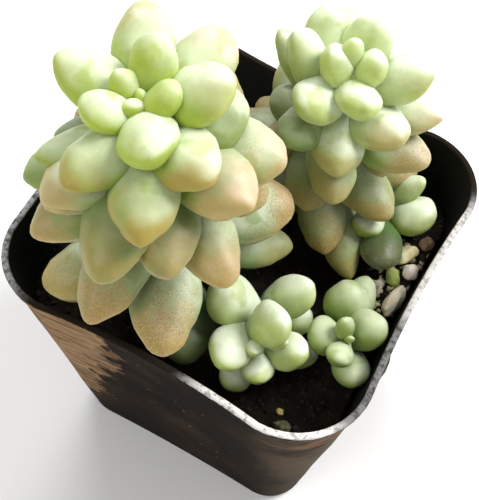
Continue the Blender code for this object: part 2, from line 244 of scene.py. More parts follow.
def settle(piece, slot, *nodes):
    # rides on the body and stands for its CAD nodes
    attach(piece, "root")
    if nodes:
        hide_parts(*nodes)


# Lengths and places in millimetres. A pair is where something begins and where it is full.
pot = dict(
    rimWidth=70.0, baseWidth=52.0, height=60.0, rimRadius=13.4, baseRadius=7.5,
    wall=0.8, floor=1.2, lipOut=0.45, lipHeight=1.6, footRound=1.2,
    sideBow=(1.0, 1.5, -1.0, 1.4), drainDiameter=6.0, drainOffset=14.0,
    dentY=-13.0, dentZ=56.0, dentOut=1.3, dentWide=4.2, dentTall=1.9, dentWall=28.0,
    sidePoints=22, cornerPoints=14, ripple=0.22, rippleTop=57.5,
    outside=(0.009, 0.0057, 0.0037), outsideLight=(0.030, 0.020, 0.013),
    inside=(0.015, 0.015, 0.013), dust=(0.33, 0.205, 0.100),
    dustDark=(0.14, 0.080, 0.042), dustPale=(0.38, 0.28, 0.18),
    lip=(0.36, 0.36, 0.36), lipWhite=(0.86, 0.84, 0.81), lipDark=(0.018, 0.014, 0.010),
    rust=(0.17, 0.075, 0.032), rustAt=(33.0, -29.0, 52.0), rustAmount=0.8,
    dustEdge=22.2, dustLean=-0.27, dustSoft=(0.8, -0.8), dustBack=(-8.0, -11.0),
    dustFoot=(8.0, 18.0), dustAmount=0.95, dustFilm=0.06, paleFrom=(26.0, 40.0),
    paleAmount=0.30, lipFrom=(59.4, 59.7), rightWall=(26.0, 32.0), leftWall=(-22.0, -30.0),
    whiteCorner=(29.0, 34.0), whiteFront=(-26.0, -31.0), whiteStart=(-8.0, -2.0),
    whiteEnd=(26.0, 19.0), greyEnd=(28.0, 20.0), gritAmount=0.30,
    dustGrain=(110, 110, 620), rustGrain=(90, 90, 520), rustSpread=(75, 75, 120),
    rough=0.50, roughPatches=0.25, roughInside=0.25)


def potOutline(z, inset):
    # bowed square with round corners at height z, inset from the outer face
    perSide, perCorner = pot["sidePoints"], pot["cornerPoints"]
    share = z / pot["height"]
    half = (pot["baseWidth"] + (pot["rimWidth"] - pot["baseWidth"]) * share) / 2
    radius = pot["baseRadius"] + (pot["rimRadius"] - pot["baseRadius"]) * share
    points = []
    for side in range(4):
        turn = Matrix.Rotation(side * math.pi / 2, 3, "Z")
        bow = pot["sideBow"][side] * (0.25 + 0.75 * share)
        for i in range(perSide):
            t = -1 + 2 * i / perSide
            flat = Vector((half - inset - bow * (1 - t * t), t * (half - radius), z))
            points.append(turn @ flat)
        for i in range(perCorner):
            angle = math.pi / 2 * i / perCorner
            reach = radius - inset
            bend = Vector((half - radius + reach * math.cos(angle),
                           half - radius + reach * math.sin(angle), z))
            points.append(turn @ bend)
    return points


def wallShift(point):
    # the pressed-out spot on +X and the slight ripple of the thin wall
    away = ((point.y - pot["dentY"]) / pot["dentWide"]) ** 2
    away += ((point.z - pot["dentZ"]) / pot["dentTall"]) ** 2
    press = pot["dentOut"] * math.exp(-away) if point.x > pot["dentWall"] else 0.0
    fade = min(1.0, max(0.0, (pot["rippleTop"] - point.z) / 12)) * min(1.0, point.z / 8)
    wave = noise.noise(Vector((point.x * 0.06, point.y * 0.06, point.z * 0.09 + 4)))
    outward = Vector((point.x, point.y, 0)).normalized()
    return point + Vector((press, 0, 0)) + outward * (pot["ripple"] * wave * fade)


def potMaterial():
    p = pot
    material, tree, shader, spot = newMaterial("potPlastic", p["rough"], Specular_IOR_Level=0.02)
    here = spot.outputs["Object"]
    x, y, z = splitAxes(tree, here)
    blotch = cloud(tree, here, 60, 4, 0.6)
    colour = blendColour(tree, ease(tree, blotch, 0.40, 0.72), p["outside"], p["outsideLight"])
    # dry dust, brushed along the wall, thick from the left corner on
    streaks = cloud(tree, vecCalc(tree, "MULTIPLY", here, p["dustGrain"]), 1.0, 4, 0.65)
    patches = cloud(tree, here, 170, 3, 0.6)
    edge = calc(tree, "ADD", x, calc(tree, "MULTIPLY_ADD", z, p["dustLean"],
                                     p["dustEdge"] * mm))
    edge = frayed(tree, frayed(tree, edge, streaks, 14.0), patches, 16.0)
    patch = times(tree, easeAt(tree, frayed(tree, y, streaks, 24.0), p["dustBack"]),
                  easeAt(tree, z, p["dustFoot"]), easeAt(tree, edge, p["dustSoft"]))
    dust = blendColour(tree, ease(tree, streaks, 0.42, 0.60), p["dustDark"], p["dust"])
    dust = blendColour(tree, ease(tree, patches, 0.5, 0.7, 0.0, 0.6), dust, p["dustPale"])
    colour = blendColour(tree, times(tree, patch, p["dustAmount"]), colour, dust)
    film = times(tree, ease(tree, cloud(tree, here, 95, 5, 0.65), 0.52, 0.75), p["dustFilm"])
    colour = blendColour(tree, film, colour, p["dust"])
    # reddish streaks beside the front corner
    scratch = cloud(tree, vecCalc(tree, "MULTIPLY", here, p["rustGrain"]), 1.0, 3, 0.6)
    away = vecCalc(tree, "SUBTRACT", here, tuple(c * mm for c in p["rustAt"]))
    away = vecCalc(tree, "LENGTH", vecCalc(tree, "MULTIPLY", away, p["rustSpread"]))
    rust = times(tree, ease(tree, away, 1.2, 0.3), ease(tree, scratch, 0.48, 0.60),
                 p["rustAmount"])
    colour = blendColour(tree, rust, colour, p["rust"])
    # the right side is a little paler
    side = vecCalc(tree, "DOT_PRODUCT", here, (1, -0.25, 0))
    pale = times(tree, ease(tree, blotch, 0.35, 0.6), p["paleAmount"],
                 easeAt(tree, side, p["paleFrom"]))
    colour = blendColour(tree, pale, colour, p["dustPale"])
    # the inner wall is plain matt black
    inner = stored(tree, "innerWall")
    outer = calc(tree, "SUBTRACT", 1.0, inner)
    colour = blendColour(tree, inner, colour, p["inside"])
    # the lip: whitish at the front corner and the middle of the right side, grey at the left
    # corner and beside the front one, dark between them; partly scuffs on the plastic, partly
    # painted highlight where the edge catches the light
    rag = cloud(tree, here, 420, 3, 0.7)
    lipMask = times(tree, easeAt(tree, frayed(tree, z, rag, 1.2), p["lipFrom"]), outer)
    wearAndGlint = ease(tree, cloud(tree, here, 700, 4, 0.75), 0.40, 0.56, 0.25, 1.0)
    toFront = vecCalc(tree, "DOT_PRODUCT", here, (0.64, -0.77, 0.0))
    whiteFront = times(tree, easeAt(tree, toFront, p["whiteCorner"]),
                       easeAt(tree, y, p["whiteFront"]))
    whiteSide = times(tree, easeAt(tree, y, p["whiteStart"]), easeAt(tree, y, p["whiteEnd"]),
                      easeAt(tree, x, p["rightWall"], 0.0, 0.7))
    white = times(tree, calc(tree, "MAXIMUM", whiteFront, whiteSide),
                  ease(tree, wearAndGlint, 0.25, 0.75, 0.45, 0.9))
    greyLeft = times(tree, easeAt(tree, x, p["leftWall"]), wearAndGlint)
    greyRight = times(tree, easeAt(tree, y, p["greyEnd"]), wearAndGlint,
                      easeAt(tree, x, p["rightWall"]), 0.5)
    lip = blendColour(tree, greyLeft, p["lipDark"], p["lip"])
    lip = blendColour(tree, greyRight, lip, p["lip"])
    lip = blendColour(tree, white, lip, p["lipWhite"])
    colour = blendColour(tree, lipMask, colour, lip)
    # pin-head specks of grit on the outside
    grit = times(tree, calc(tree, "LESS_THAN", cells(tree, here, 260), 0.09), outer,
                 ease(tree, cloud(tree, here, 45.0), 0.48, 0.62), p["gritAmount"])
    colour = blendColour(tree, grit, colour, p["dustPale"])
    tree.links.new(colour, shader.inputs["Base Color"])
    rough = calc(tree, "ADD", p["rough"], times(tree, blotch, p["roughPatches"]))
    rough = calc(tree, "ADD", rough, times(tree, inner, p["roughInside"]))
    tree.links.new(rough, shader.inputs["Roughness"])
    height = calc(tree, "ADD", cloud(tree, here, 500, 4, 0.6), times(tree, rag, 0.6))
    addBump(tree, shader, height, 0.35, 0.00025)
    return material


def makePot():
    top = pot["height"]
    lipLow = top - pot["lipHeight"]
    # up the outside from the rounded foot to the lip, then down the inside
    outer = [potOutline(0.0, pot["footRound"]), potOutline(0.35, 0.45), potOutline(1.2, 0.0)]
    steps = [2.5 + 1.9 * k for k in range(29)]  # heights of the wall's rings
    outer += [[wallShift(p) for p in potOutline(z, 0.0)] for z in steps]
    out = pot["lipOut"]
    outer += [potOutline(lipLow - 0.35, 0.0), potOutline(lipLow, -out * 0.7),
              potOutline(lipLow + 0.2, -out), potOutline(top - 0.35, -out),
              potOutline(top - 0.08, -out * 0.7), potOutline(top, -out * 0.2)]
    wall = pot["wall"]
    inner = [potOutline(top, wall * 0.6), potOutline(top - 0.1, wall * 0.9),
             potOutline(top - 0.4, wall)]
    inner += [[wallShift(p) for p in potOutline(z, wall)] for z in reversed(steps)]
    inner += [potOutline(pot["floor"] + 0.4, wall), potOutline(pot["floor"], wall + 0.4)]
    verts, faces = skin(outer + inner)
    mesh = meshFrom("pot_fine", verts, faces)
    # the inner wall starts two rings past the lip's top
    marks = [0.0] * ((len(outer) + 2) * len(outer[0]))
    marks += [1.0] * (len(verts) - len(marks))
    mesh.attributes.new("innerWall", "FLOAT", "POINT").data.foreach_set("value", marks)
    piece = addObject("pot_fine", mesh, potMaterial())
    cutters = []
    radius, off = pot["drainDiameter"] / 2 * mm, pot["drainOffset"] * mm
    for sx, sy in ((1, 1), (-1, 1), (-1, -1), (1, -1)):
        bm = bmesh.new()
        bmesh.ops.create_cone(bm, cap_ends=True, segments=40, radius1=radius, radius2=radius,
                              depth=6 * mm, matrix=Matrix.Translation((sx * off, sy * off, 0)))
        hole = bpy.data.meshes.new("drain")
        bm.to_mesh(hole)
        bm.free()
        cutter = addObject("drain", hole)
        cutters.append(cutter)
        cut = piece.modifiers.new("Drain", "BOOLEAN")
        cut.operation = "DIFFERENCE"
        cut.object = cutter
    plainMesh(piece)
    for cutter in cutters:
        bpy.data.objects.remove(cutter, do_unlink=True)
    piece.data.set_sharp_from_angle(angle=math.radians(50))
    settle(piece, "pot", "pot")


# "crumbs" is their number on a flat square of crumbSide; the rough surface takes more.
soil = dict(
    level=46.8, bank=4.2, bankX=24.0, bankSoft=2.2, bankY=4.0, bankHalf=24.0, relief=0.9,
    gap=0.3, rings=44, fine=0.34, stemDepth=10.0, crumbs=1500.0, crumbSide=66.0,
    crumbSize=0.62, crumbLump=0.6, crumbLeast=(0.45, 0.45, 0.35), crumbMost=(1.9, 1.9, 1.2),
    crumbsAbove=40.0, seed=5,
    dark=(0.0050, 0.0042, 0.0034), brown=(0.020, 0.014, 0.009), pale=(0.060, 0.045, 0.032),
    grit=(0.52, 0.45, 0.30), gritSize=0.9, gritX=24.0, gritY=(-6.0, 17.0), gritEdge=2.0)


def soilHeight(x, y):
    # nearly level, banked up along the +X wall
    bank = soil["bank"] / (1 + math.exp(-(x - soil["bankX"]) / soil["bankSoft"]))
    bank *= math.exp(-((y - soil["bankY"]) / soil["bankHalf"]) ** 4)
    rough = noise.noise(Vector((x * 0.22, y * 0.22, 3.7)))
    fine = noise.noise(Vector((x * 0.6, y * 0.6, 9.1)))
    return soil["level"] + bank + soil["relief"] * (rough + 0.4 * fine)


def gritZone(tree, x, y):
    # 1 among the stones by the +X wall, 0 elsewhere
    (low, high), start, edge = soil["gritY"], soil["gritX"], soil["gritEdge"]
    return times(tree, easeAt(tree, y, (low - edge, low + edge)),
                 easeAt(tree, y, (high + edge, high - edge)),
                 easeAt(tree, x, (start - edge, start + edge)))


def soilMaterial(name, lift):
    material, tree, shader, spot = newMaterial(name, 0.95, Specular_IOR_Level=0.15)
    here = spot.outputs["Object"]
    clump = cloud(tree, here, 380, 4, 0.65)
    colour = blendColour(tree, ease(tree, clump, 0.35, 0.75), soil["dark"], soil["brown"])
    colour = blendColour(tree, lift, colour, soil["pale"])
    if lift:
        # crumbs only: part of those among the stones are pale grit
        grit = times(tree, gritZone(tree, *splitAxes(tree, here)[:2]),
                     ease(tree, cloud(tree, here, 520, 1, 0.4), 0.47, 0.53))
        colour = blendColour(tree, grit, colour, soil["grit"])
    tree.links.new(colour, shader.inputs["Base Color"])
    addBump(tree, shader, cloud(tree, here, 1500, 4, 0.7), 0.6, 0.0004)
    return material


def makeSoil():
    inset = pot["wall"] + soil["gap"]
    low = pot["floor"] + soil["gap"]
    sides = [potOutline(low, inset + 0.6), potOutline(14.0, inset), potOutline(30.0, inset)]
    edge = [Vector((p.x, p.y, soilHeight(p.x, p.y)))
            for p in potOutline(soil["level"], inset + 0.35)]
    rings = [edge]
    for k in range(1, soil["rings"]):
        share = 1 - k / soil["rings"]
        ring = []
        for p in edge:
            x, y = p.x * share, p.y * share
            fine = noise.fractal(Vector((x * 0.9, y * 0.9, 2.0)), 0.8, 2.2, 3)
            ring.append(Vector((x, y, soilHeight(x, y) + soil["fine"] * fine)))
        rings.append(ring)
    verts, faces = skin(sides + rings)
    piece = addObject("soil_fine", meshFrom("soil_fine", verts, faces),
                     soilMaterial("soilDark", 0.0))
    settle(piece, "soil", "soil")
    return piece


def crumbTree():
    # strews lumpy crumbs over the level faces of the soil
    tree, ids, given, out = newTree("soilCrumbs", [
        ("Density", "Float", 100000.0), ("Crumb Size", "Float", 0.6 * mm),
        ("Seed", "Int", 0), ("Material", "Material", None)])
    take = given.outputs
    up = addNode(tree, "GeometryNodeInputNormal", {}).outputs[0]
    place = addNode(tree, "GeometryNodeInputPosition", {}).outputs[0]
    x, y, z = splitAxes(tree, place)
    level = times(tree, calc(tree, "GREATER_THAN", splitAxes(tree, up)[2], 0.5),
                  calc(tree, "GREATER_THAN", z, soil["crumbsAbove"] * mm))
    strew = addNode(tree, "GeometryNodeDistributePointsOnFaces", {
        "Mesh": take["Geometry"], "Selection": level, "Density": take["Density"],
        "Seed": take["Seed"]})
    ball = addNode(tree, "GeometryNodeMeshIcoSphere", {"Radius": 0.5, "Subdivisions": 2})
    size, turn = (
        addNode(tree, "FunctionNodeRandomValue", {
            "Min": least, "Max": most, "Seed": calc(tree, "ADD", take["Seed"], shift)},
            data_type="FLOAT_VECTOR").outputs[0]
        for least, most, shift in ((soil["crumbLeast"], soil["crumbMost"], 1.0),
                                   (None, (6.28, 6.28, 6.28), 2.0)))
    bigger = calc(tree, "MULTIPLY_ADD", gritZone(tree, x, y), soil["gritSize"], 1.0)
    bigger = times(tree, bigger, take["Crumb Size"])
    spread = addNode(tree, "GeometryNodeInstanceOnPoints", {
        "Points": strew.outputs["Points"], "Instance": ball.outputs["Mesh"],
        "Rotation": turn, "Scale": vecCalc(tree, "SCALE", size, scale=bigger)})
    real = addNode(tree, "GeometryNodeRealizeInstances", {0: spread.outputs[0]})
    lumps = times(tree, calc(tree, "SUBTRACT", cloud(tree, place, 1400.0), 0.5),
                  soil["crumbLump"] * mm)
    push = addNode(tree, "GeometryNodeSetPosition", {
        "Geometry": real.outputs[0], "Offset": vecCalc(tree, "SCALE", up, scale=lumps)})
    endTree(tree, push.outputs[0], given, out)
    return tree, ids


def makeCrumbs(ground):
    tree, ids = crumbTree()
    piece = addObject("soil_crumbs", ground.data.copy())
    side = soil["crumbSide"] * mm
    runTree(piece, tree, ids, {
        "Density": soil["crumbs"] / (side * side), "Crumb Size": soil["crumbSize"] * mm,
        "Seed": soil["seed"], "Material": soilMaterial("soilCrumb", 0.35)})
    settle(piece, "soil")


# The two tall stems follow a spiral rule. "posed" bends single leaves away from it: a turn
# round the stem and a tilt in degrees, a length and a width factor, and millimetres that the
# root sits lower. "looks" gives single leaves their blush, gold, speckles, deep green and bloom;
# a low bloom also paints shade on leaves that lie under others. Where a look names no bloom the
# stem's own amount stands; above 1 it covers the lower faces too, which paints extra light
# there.
leftStem = dict(
    node="leafy_stem_left", waxAndLight=1.0, slot="leaf_pale",
    top=(-9.5, -16.8, 100.0), lean=20.5, leanTo=-109, straight=25.0, radius=3.2,
    count=49, start=54, hand=-1, turn=136.7, pitch=0.25, pitchPower=1.12, loose=0.1,
    looseFrom=32, tiltFirst=21.7, tiltLast=99.5, tiltRate=7.8, leaf=24.0, leafRate=10.2,
    blushFrom=9, speckFrom=20,
    posed={0: (0, 8, 1), 1: (15, 3, .85), 2: (10, 0, .92, .9), 3: (14, 11, 1.05),
           4: (5, 0, .97, 1.1), 6: (4, 0, 1.08, 1.05), 7: (0, 0, 1.1),
           8: (-10, 0, 1.08, 1.05), 9: (-3, 5, 1.05), 10: (-8, 0, 1.06),
           11: (-13, 0, 1.03), 12: (14, 0, 1, .65, 2), 13: (0, 7, 1), 14: (0, 0, 1.1),
           15: (0, 15, 1), 16: (0, 0, .75), 17: (-3, 0, .97), 18: (0, 15, .9),
           19: (8, 0, 1), 20: (29, 0, .97, .9), 21: (0, 12, .62), 22: (-5, 0, 1.13),
           23: (0, 15, 1), 24: (0, 0, .92), 25: (5, 0, .9, .85), 26: (0, 12, 1),
           27: (-18, 0, .99, .9), 28: (11, 0, .76, .9, 1), 29: (0, 20, .56),
           30: (5, 0, .95, .9), 32: (4, 10, .78), 33: (20, 0, 1, .95), 34: (0, 0, .8),
           35: (15, 0, 1.04, .8), 36: (0, 0, .8), 37: (0, 0, .55), 38: (13, 10, 1.15, .9),
           40: (43, 0, .88, 1.1, 6), 41: (0, 0, .6), 42: (0, 0, .7), 43: (3, 0, 1.12, .95),
           45: (5, 0, .9, .8, 3), 46: (-9, -6, 1), 47: (0, 0, .7), 48: (-24, 0, .88, .9)},
    looks={0: (0, 0, 0, 0, .8), 3: (0, 0, 0, 0, .6), 7: (.1, .25), 8: (.2, .1),
           9: (.1, 1, 0, .2, .7), 10: (.35, .15), 11: (.3, 1, 0, .1, .9),
           12: (0, .1, 0, .1, .9), 13: (.6, .3), 14: (.2, 1, 0, .25, .5),
           16: (0, 0, 0, .3, .8), 17: (.6, .6, 0, 0, 1.3), 18: (.8, 0, 0, .1, .8),
           19: (.8, .7, 0, .15, .5), 20: (0, 0, 0, .35, .8), 22: (.2, .6, .1, .55, .15),
           24: (.6, .6, .3, .1, .75), 25: (.7, .3, .1, .2, .6), 27: (.45, .4, .1, .5, .2),
           28: (0, 0, 0, .75, .4), 29: (0, .1, 0, .35, .8), 30: (.2, .6, .3, .45, .25),
           33: (.8, .3, .2, .15, .5), 35: (.7, .6, .25, .1, 1), 38: (.8, .3, .8, .1, .8),
           40: (1, .8, 1, 0, 1.3), 43: (.8, .9, .9, 0, 1), 45: (.2, .4, .3, .1, 1.2),
           46: (.3, .9, .5, 0, 1.2), 48: (0, .1, .1, 1, .2)})
# A side shoot low on the right stem: root point, tip point and width of each leaf, and the
# look of one that differs.
sideShoot = dict(
    radius=1.8, faces=(0, -0.1, 1), age=0.30, look=(0, .1, 0, .15, 1),
    path=[(6.0, 19.5, 51.5), (14.0, 18.5, 52.5), (20.5, 18.0, 55.0)],
    leaves=[((21, 19, 54), (30, 18.5, 56), 9.0), ((20, 18, 55), (25, 24, 60), 5.0),
            ((20, 17, 54), (19, 8, 58), 6.0),
            # this last leaf, deep green with no bloom, is painted in shade
            ((21, 17, 53), (25.4, 4.4, 55), 8.0, (0, 0, .7, 1, 0))])
rightStem = dict(
    node="leafy_stem_right", waxAndLight=1.6, slot="leaf_pale", shoot=sideShoot,
    top=(9.6, 16.6, 86.0), lean=25, leanTo=-34, straight=25.0, radius=2.8,
    count=40, start=-3, hand=1, turn=136.8, pitch=0.47, pitchPower=1.15, loose=0.0,
    looseFrom=40, tiltFirst=15, tiltLast=90, tiltRate=11.5, leaf=19.0, leafRate=6.6,
    blushFrom=9, speckFrom=14,
    posed={0: (0, -20, .8), 1: (20, 10, 1.45), 2: (0, 0, .5), 3: (-20, -10, .95),
           4: (16, 1, .95), 5: (-19, 5, 1), 7: (14, 16, 1), 8: (17, 5, 1.09),
           10: (10, 33, 1), 11: (0, 0, .6), 12: (-10, -18, 1), 13: (0, -3, 1),
           14: (3, 8, 1), 15: (10, 0, 1, .85), 16: (-14, 0, 1.09, .85), 17: (0, 0, .92, .8),
           18: (-1, 20, 1.03, .9), 19: (0, 35, 1), 20: (0, 0, .65), 21: (2, 0, 1.12),
           23: (22, 20, .98), 24: (0, 0, .6), 25: (0, 0, .6), 26: (20, 22, 1.11),
           28: (0, 0, .6), 29: (-5, 0, .8), 31: (22, 25, 1.15), 34: (-16, 25, 1.34, .85),
           35: (0, -8, .68), 39: (0, 0, .7)},
    looks={8: (.1, .3), 9: (0, 0), 10: (.2, .6), 12: (0, 0), 13: (.3, .7), 14: (0, 0),
           15: (0, 0, 0, .5, .5), 16: (.6, .4), 17: (0, 0), 18: (.35, .5, .4, 0, .6),
           20: (0, 0, 0, .5, .7), 22: (0, 0), 23: (.3, .5, .5, .4, .3), 25: (0, 0, 0, .4, .7),
           26: (.4, .7, .6), 27: (0, 0), 29: (.6, .7, .3, 0, .9), 30: (.4, .1, 0, 0, 1),
           31: (.4, .8, .9), 34: (.3, .4, .4, .2, .6)})
# The bloom above 1 in this rosette's look paints extra light on the lower faces of its leaves.
frontStem = dict(
    node="leafy_stem_front", slot="leaf_green", radius=2.0, faces=(0.3, -0.35, 1),
    age=0.17, look=(0, 0, 0, .02, 1.45),
    path=[(12.0, -18.0, 36.8), (12.0, -18.0, 50.0), (13.0, -19.5, 56.5)],
    leaves=[((13.5, -20, 58), (19.8, -21, 63), 3.5), ((13, -20.5, 58), (15.7, -25.3, 62), 3.4),
            ((11.5, -19.5, 58), (18.6, -20, 68), 7.8), ((10, -18.5, 57), (12, -30, 62), 7.8),
            ((11, -15.5, 58), (3, -19, 63), 9.4), ((11, -14.5, 56), (18, -8, 62), 7.4),
            ((14, -19, 54), (23, -19.5, 59), 7.0), ((13.5, -20, 54), (17.5, -27, 56), 6.0),
            ((13, -15.5, 52), (19, -9.5, 55), 6.0), ((12, -20, 51), (13, -29, 52), 6.0),
            ((14, -17.5, 51), (23, -14.5, 50), 5.5)])
edgeStem = dict(
    node="leafy_stem_edge", slot="leaf_green", radius=1.8, faces=(0.1, -0.2, 1),
    age=0.42, look=(0, 0, 0, .26, .65),
    path=[(26.2, -11.2, 36.8), (26.2, -11.2, 51.5), (27.0, -12.2, 57.0)],
    leaves=[((27.2, -12.8, 58), (27.6, -13.6, 60.3), 1.8), ((27, -12, 57), (25, -12.3, 63), 3.8),
            ((27, -13, 57), (27.5, -19, 60), 4.8), ((26.1, -12, 55), (31.1, -6.7, 59), 7.4),
            ((26.5, -12, 55), (20.6, -15.3, 59), 6.9), ((26, -9, 54), (21.5, -3, 59), 8.6),
            ((27, -10.5, 52), (31.3, -18.5, 54), 6.5), ((25.5, -7.5, 52), (24, 3.3, 52.7), 5.6)])
# The form that all leaves share. Lower on a tall stem they grow slimmer, from slimTop down to
# slimLow, and ripen and speckle over as many leaves as ripeOver and speckOver say.
leafForm = dict(
    around=26, along=22, root=0.40, widest=0.56, thick=0.80, curl=0.06, flatTop=0.86,
    edge=0.26, uneven=0.08, seed=3, slimLow=0.52, slimTop=0.80, slimFade=8.0, ripeOver=12,
    speckOver=14, ripeBlush=0.5, ripeGold=0.6, ripeWaxLoss=0.4)
# Colours, amounts from 0 to 1, and the ages or places along a leaf over which each comes in.
leafColour = dict(
    young=(0.45, 0.58, 0.055), middle=(0.32, 0.425, 0.070), old=(0.200, 0.295, 0.065),
    root=(0.09, 0.18, 0.028), gold=(0.42, 0.315, 0.050), peach=(0.85, 0.54, 0.37),
    tan=(0.62, 0.345, 0.13), speck=(0.30, 0.13, 0.040), bloomAndHighlight=(0.79, 0.86, 0.68),
    warmBloomAndHighlight=(0.92, 0.80, 0.70), deep=(0.085, 0.135, 0.050), bloomAndHighlightAmount=0.82,
    peachAmount=0.85, goldAmount=0.9, rootGreenAndShadeAmount=0.8, lowerBloomAndLight=0.6, bareLoss=0.8,
    rubbedLeft=0.5, dotAmount=0.75, paleDotAmount=0.15, rimAmount=(0.04, 0.22), mottle=0.10,
    lightWay=(0.12, 0.50, 0.86), stem=(0.13, 0.17, 0.05), bark=(0.24, 0.19, 0.10),
    middleAge=(0.02, 0.40), oldAge=(0.30, 0.85), tanAge=(0.35, 0.80), rootGreenAndShadeBand=(0.55, 0.15),
    peachBand=(0.56, 1.0), goldBand=(0.60, 0.90), dotBand=(0.80, 1.25), dotScale=4600.0,
    paleDotScale=3600.0)


def stemAxis(stem, distance):
    # direction of a stem at a distance below its top
    lean, way = math.radians(stem["lean"]), math.radians(stem["leanTo"])
    top = Vector((math.cos(way) * math.sin(lean), math.sin(way) * math.sin(lean),
                  math.cos(lean)))
    share = min(max(distance / stem["straight"], 0), 1)
    return (top * (1 - share) + Vector((0, 0, 1)) * share).normalized()


def stemPoint(stem, distance, steps=60):
    point = Vector(stem["top"])
    step = distance / steps
    for i in range(steps):
        point = point - stemAxis(stem, step * i) * step
    return point


def spiralLeaves(stem):
    # each leaf is one turn of the spiral on from the one above it
    f, leaves = leafForm, []
    last = stem["count"] - 1
    for n in range(stem["count"]):
        extra = max(0, n - stem["looseFrom"]) ** 2 * stem["loose"]
        down = stem["pitch"] * n ** stem["pitchPower"] + extra
        axis = stemAxis(stem, down)
        own = stem["posed"].get(n, ())
        turn, tilt, longer, wider, lower = own + (0, 0, 1, 1, 0)[len(own):]
        root = stemPoint(stem, down) - axis * lower
        angle = math.radians(stem["start"] + stem["hand"] * stem["turn"] * n + turn)
        fade = math.exp(-n / stem["tiltRate"])
        spread = stem["tiltLast"] - (stem["tiltLast"] - stem["tiltFirst"]) * fade
        spread = math.radians(spread + tilt)
        length = stem["leaf"] * (1 - math.exp(-(n + 1.5) / stem["leafRate"]))
        slim = f["slimLow"] + (f["slimTop"] - f["slimLow"]) * math.exp(-n / f["slimFade"])
        east = Vector((1, 0, 0))
        east = (east - axis * axis.dot(east)).normalized()
        out = east * math.cos(angle) + axis.cross(east) * math.sin(angle)
        along = out * math.sin(spread) + axis * math.cos(spread)
        over = axis * math.sin(spread) - out * math.cos(spread)
        ripe = min(max((n - stem["blushFrom"]) / f["ripeOver"], 0), 1)
        speck = min(max((n - stem["speckFrom"]) / f["speckOver"], 0), 1)
        look = stem["looks"].get(n, ())
        look += (f["ripeBlush"] * ripe, f["ripeGold"] * ripe, speck, 0,
                 stem["waxAndLight"] * (1 - f["ripeWaxLoss"] * ripe))[len(look):]
        # how pointed the tip is, unevenly more so lower on the stem
        point = 0.35 + 0.45 * min(n / 14, 1) * (0.5 + 0.5 * math.sin(n * 2.3))
        leaves.append((root, along, over, length * longer, length * slim * wider, n / last,
                       look, point))
    return leaves


def placedLeaves(stem):
    # leaves of a small stem, each from its root point to its tip point
    leaves = []
    for root, tip, width, *own in stem["leaves"]:
        root = Vector(root)
        along = Vector(tip) - root
        length = along.length
        along.normalize()
        top = Vector(stem["faces"])
        over = (top - along * along.dot(top)).normalized()
        leaves.append((root, along, over, length, width, stem["age"],
                       own[0] if own else stem["look"], 0.4))
    return leaves


def leafPoints(name, leaves):
    # one loose point for each leaf, with all that the tree needs to know
    mesh = bpy.data.meshes.new(name)
    mesh.from_pydata([tuple(leaf[0] * mm) for leaf in leaves], [], [])
    rows = []
    for index, (root, along, over, length, width, age, look, point) in enumerate(leaves):
        across = along.cross(over).normalized()
        rows.append((root * mm, along, across.cross(along).normalized(), across, length * mm,
                     width * mm, age, point, 0.37 * index, *look))
    labels = ("Root", "Along", "Over", "Across", "Length", "Width", "Age", "Point", "Seed",
              "Blush", "Gold", "Speck", "DeepGreenAndShade", "BloomAndLight")
    for label, values in zip(labels, zip(*rows)):
        if isinstance(values[0], Vector):
            data = mesh.attributes.new("leaf" + label, "FLOAT_VECTOR", "POINT").data
            data.foreach_set("vector", [part for value in values for part in value])
        else:
            data = mesh.attributes.new("leaf" + label, "FLOAT", "POINT").data
            data.foreach_set("value", values)
    return mesh


